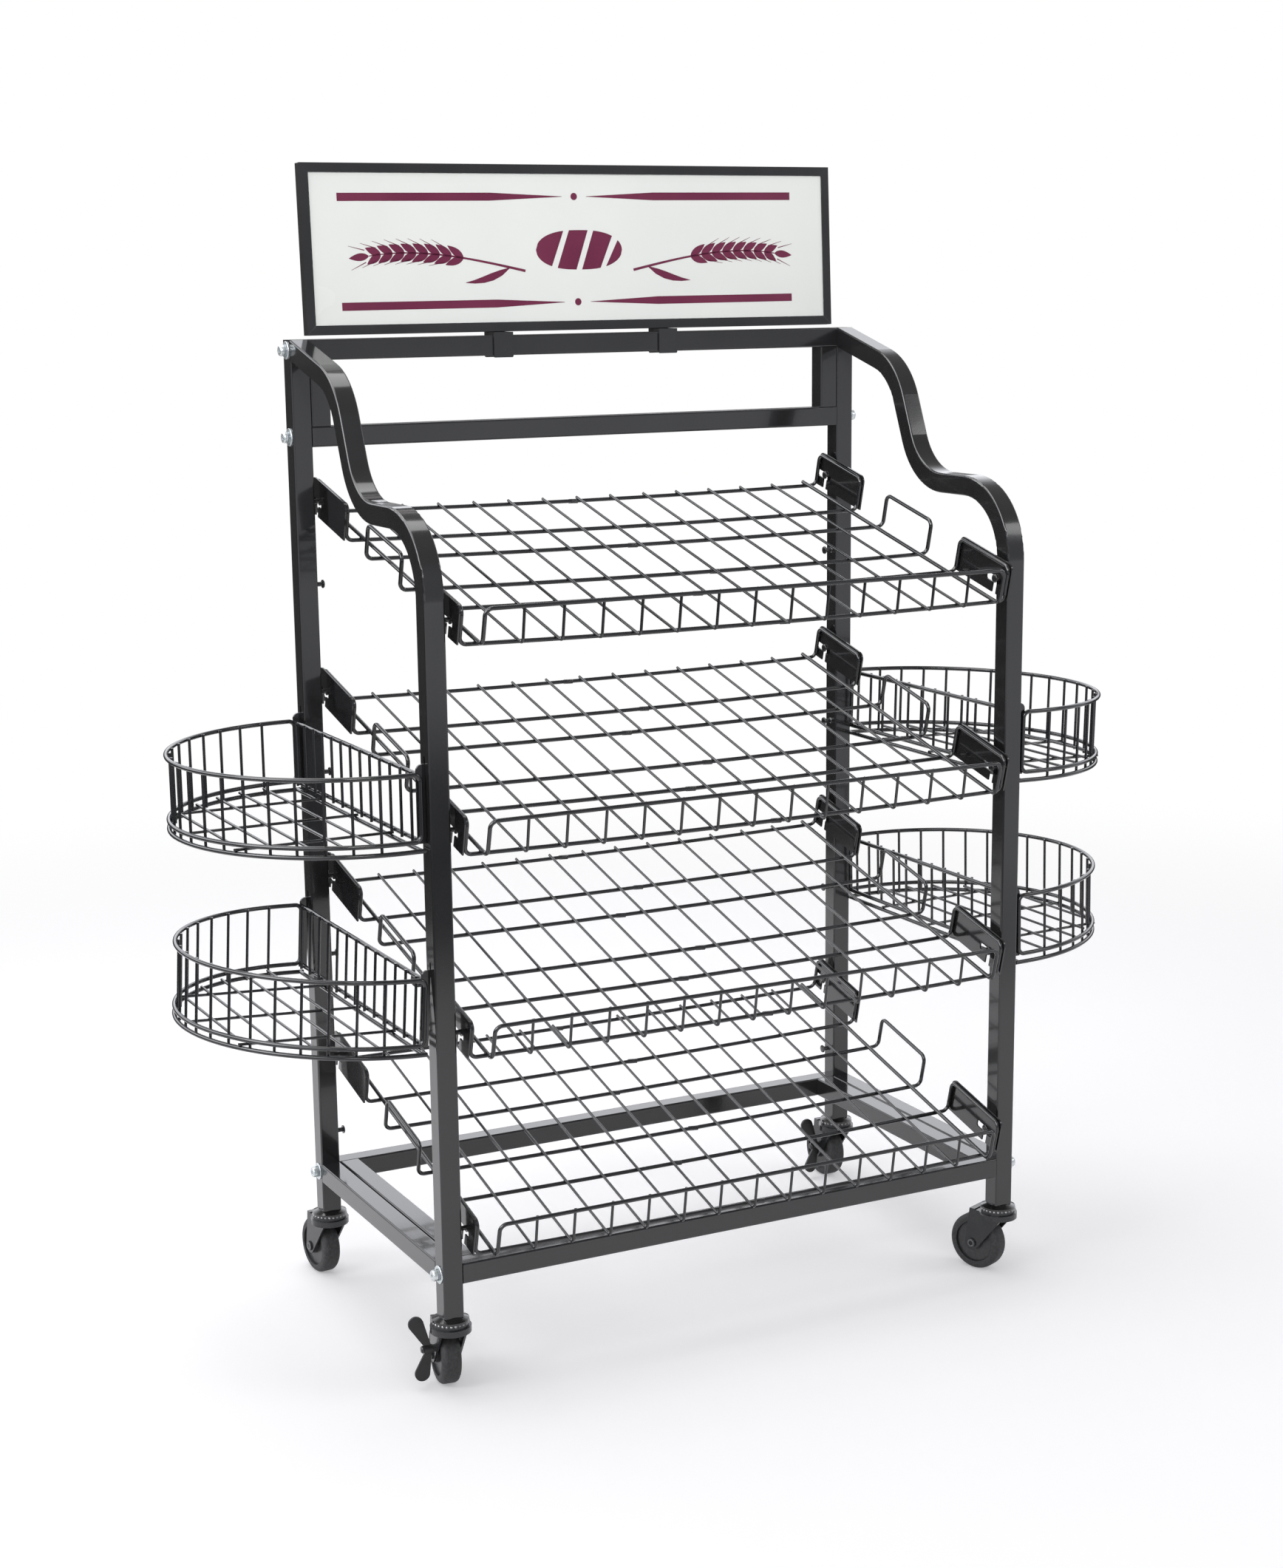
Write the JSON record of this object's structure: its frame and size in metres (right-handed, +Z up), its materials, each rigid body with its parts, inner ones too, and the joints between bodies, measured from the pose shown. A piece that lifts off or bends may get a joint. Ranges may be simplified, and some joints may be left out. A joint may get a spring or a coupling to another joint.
{
  "type": "mobile bakery display rack",
  "caption": "Mobile bread rack: bent square-tube frame, sloping wire shelves that unhook, half-round side baskets, header sign and swivel casters.",
  "frame": {"origin": "on the floor at the middle of the footprint, from the shelf lips to the rear tyres", "axes": "+X to the right seen from the customer's side, -Y towards the customer, +Z up"},
  "size_m": [1.287, 0.5317, 1.4434],
  "materials": {
    "frame_black": "gloss powder coat",
    "wire_black": "gloss powder coat",
    "stud_black": "gloss powder coat",
    "zinc": "bright zinc plate",
    "sign_panel": "satin white sheet with a printed maroon border",
    "caster_black": "gloss black",
    "wheel_rubber": "dark grey rubber"
  },
  "bodies": {
    "frame": {"rear_post_left": "frame_black", "rear_post_right": "frame_black", "front_tube_left": "frame_black", "front_tube_right": "frame_black", "side_rail_left": "frame_black", "side_rail_right": "frame_black", "base_rail_left": "frame_black", "base_rail_right": "frame_black", "base_rail_front": "frame_black", "base_rail_rear": "frame_black", "top_rail_lower": "frame_black", "top_rail_upper": "frame_black", "top_upright_left": "frame_black", "top_upright_right": "frame_black", "frame_bolts": "zinc", "flat_washers": "zinc", "spring_washers": "zinc", "rail_plugs": "zinc", "shelf_studs": "stud_black", "caster_mounts": "caster_black"},
    "shelf_1": {"shelf_1_loops": "wire_black", "shelf_1_grid": "wire_black", "shelf_1_hangers": "wire_black"},
    "shelf_2": {"shelf_2_loops": "wire_black", "shelf_2_grid": "wire_black", "shelf_2_hangers": "wire_black"},
    "shelf_3": {"shelf_3_loops": "wire_black", "shelf_3_grid": "wire_black", "shelf_3_hangers": "wire_black"},
    "shelf_4": {"shelf_4_loops": "wire_black", "shelf_4_grid": "wire_black", "shelf_4_hangers": "wire_black"},
    "basket_upper_left": {"basket_upper_left_rings": "wire_black", "basket_upper_left_wires": "wire_black", "basket_upper_left_hooks": "wire_black"},
    "basket_upper_right": {"basket_upper_right_rings": "wire_black", "basket_upper_right_wires": "wire_black", "basket_upper_right_hooks": "wire_black"},
    "basket_lower_left": {"basket_lower_left_rings": "wire_black", "basket_lower_left_wires": "wire_black", "basket_lower_left_hooks": "wire_black"},
    "basket_lower_right": {"basket_lower_right_rings": "wire_black", "basket_lower_right_wires": "wire_black", "basket_lower_right_hooks": "wire_black"},
    "sign": {"sign_frame": "frame_black", "sign_panel": "sign_panel", "sign_clips": "frame_black"},
    "fork_front_left": {"caster_fork_front_left": "caster_black"},
    "wheel_front_left": {"caster_wheel_front_left": "wheel_rubber"},
    "fork_front_right": {"caster_fork_front_right": "caster_black"},
    "wheel_front_right": {"caster_wheel_front_right": "wheel_rubber"},
    "fork_rear_left": {"caster_fork_rear_left": "caster_black"},
    "wheel_rear_left": {"caster_wheel_rear_left": "wheel_rubber"},
    "fork_rear_right": {"caster_fork_rear_right": "caster_black"},
    "wheel_rear_right": {"caster_wheel_rear_right": "wheel_rubber"},
    "lever_front_left": {"brake_lever_front_left": "caster_black"},
    "lever_rear_right": {"brake_lever_rear_right": "caster_black"}
  },
  "joints": [
    {"name": "shelf_1_lift", "type": "slide", "parent": "frame", "child": "shelf_1", "axis": [0, -0.2461, 0.9692], "range_m": [0, 0.03]},
    {"name": "shelf_2_lift", "type": "slide", "parent": "frame", "child": "shelf_2", "axis": [0, -0.2461, 0.9692], "range_m": [0, 0.03]},
    {"name": "shelf_3_lift", "type": "slide", "parent": "frame", "child": "shelf_3", "axis": [0, -0.2461, 0.9692], "range_m": [0, 0.03]},
    {"name": "shelf_4_lift", "type": "slide", "parent": "frame", "child": "shelf_4", "axis": [0, -0.2461, 0.9692], "range_m": [0, 0.03]},
    {"name": "basket_upper_left_lift", "type": "slide", "parent": "frame", "child": "basket_upper_left", "axis": [0, 0, 1], "range_m": [0, 0.0075]},
    {"name": "basket_upper_right_lift", "type": "slide", "parent": "frame", "child": "basket_upper_right", "axis": [0, 0, 1], "range_m": [0, 0.0075]},
    {"name": "basket_lower_left_lift", "type": "slide", "parent": "frame", "child": "basket_lower_left", "axis": [0, 0, 1], "range_m": [0, 0.0075]},
    {"name": "basket_lower_right_lift", "type": "slide", "parent": "frame", "child": "basket_lower_right", "axis": [0, 0, 1], "range_m": [0, 0.0075]},
    {"name": "sign_lift", "type": "slide", "parent": "frame", "child": "sign", "axis": [0, 0, 1], "range_m": [0, 0.04]},
    {"name": "swivel_front_left", "type": "hinge", "parent": "frame", "child": "fork_front_left", "pos_m": [-0.3938, -0.2115, 0.08], "axis": [0, 0, 1], "continuous": true},
    {"name": "spin_front_left", "type": "hinge", "parent": "fork_front_left", "child": "wheel_front_left", "pos_m": [-0.38962, -0.18179, 0.0375], "axis": [-0.9903, 0.1392, 0], "continuous": true},
    {"name": "brake_front_left", "type": "hinge", "parent": "fork_front_left", "child": "lever_front_left", "pos_m": [-0.41082, -0.18891, 0.049], "axis": [-0.9903, 0.1392, 0], "range_deg": [-30, 30]},
    {"name": "swivel_front_right", "type": "hinge", "parent": "frame", "child": "fork_front_right", "pos_m": [0.3938, -0.2115, 0.08], "axis": [0, 0, 1], "continuous": true},
    {"name": "spin_front_right", "type": "hinge", "parent": "fork_front_right", "child": "wheel_front_right", "pos_m": [0.38256, -0.18368, 0.0375], "axis": [-0.9272, -0.3746, 0], "continuous": true},
    {"name": "swivel_rear_left", "type": "hinge", "parent": "frame", "child": "fork_rear_left", "pos_m": [-0.3938, 0.1981, 0.08], "axis": [0, 0, 1], "continuous": true},
    {"name": "spin_rear_left", "type": "hinge", "parent": "fork_rear_left", "child": "wheel_rear_left", "pos_m": [-0.39694, 0.22794, 0.0375], "axis": [-0.9945, -0.1045, 0], "continuous": true},
    {"name": "swivel_rear_right", "type": "hinge", "parent": "frame", "child": "fork_rear_right", "pos_m": [0.3938, 0.1981, 0.08], "axis": [0, 0, 1], "continuous": true},
    {"name": "spin_rear_right", "type": "hinge", "parent": "fork_rear_right", "child": "wheel_rear_right", "pos_m": [0.3938, 0.2281, 0.0375], "axis": [-1, 0, 0], "continuous": true},
    {"name": "brake_rear_right", "type": "hinge", "parent": "fork_rear_right", "child": "lever_rear_right", "pos_m": [0.3738, 0.2181, 0.049], "axis": [-1, 0, 0], "range_deg": [-30, 30]}
  ]
}
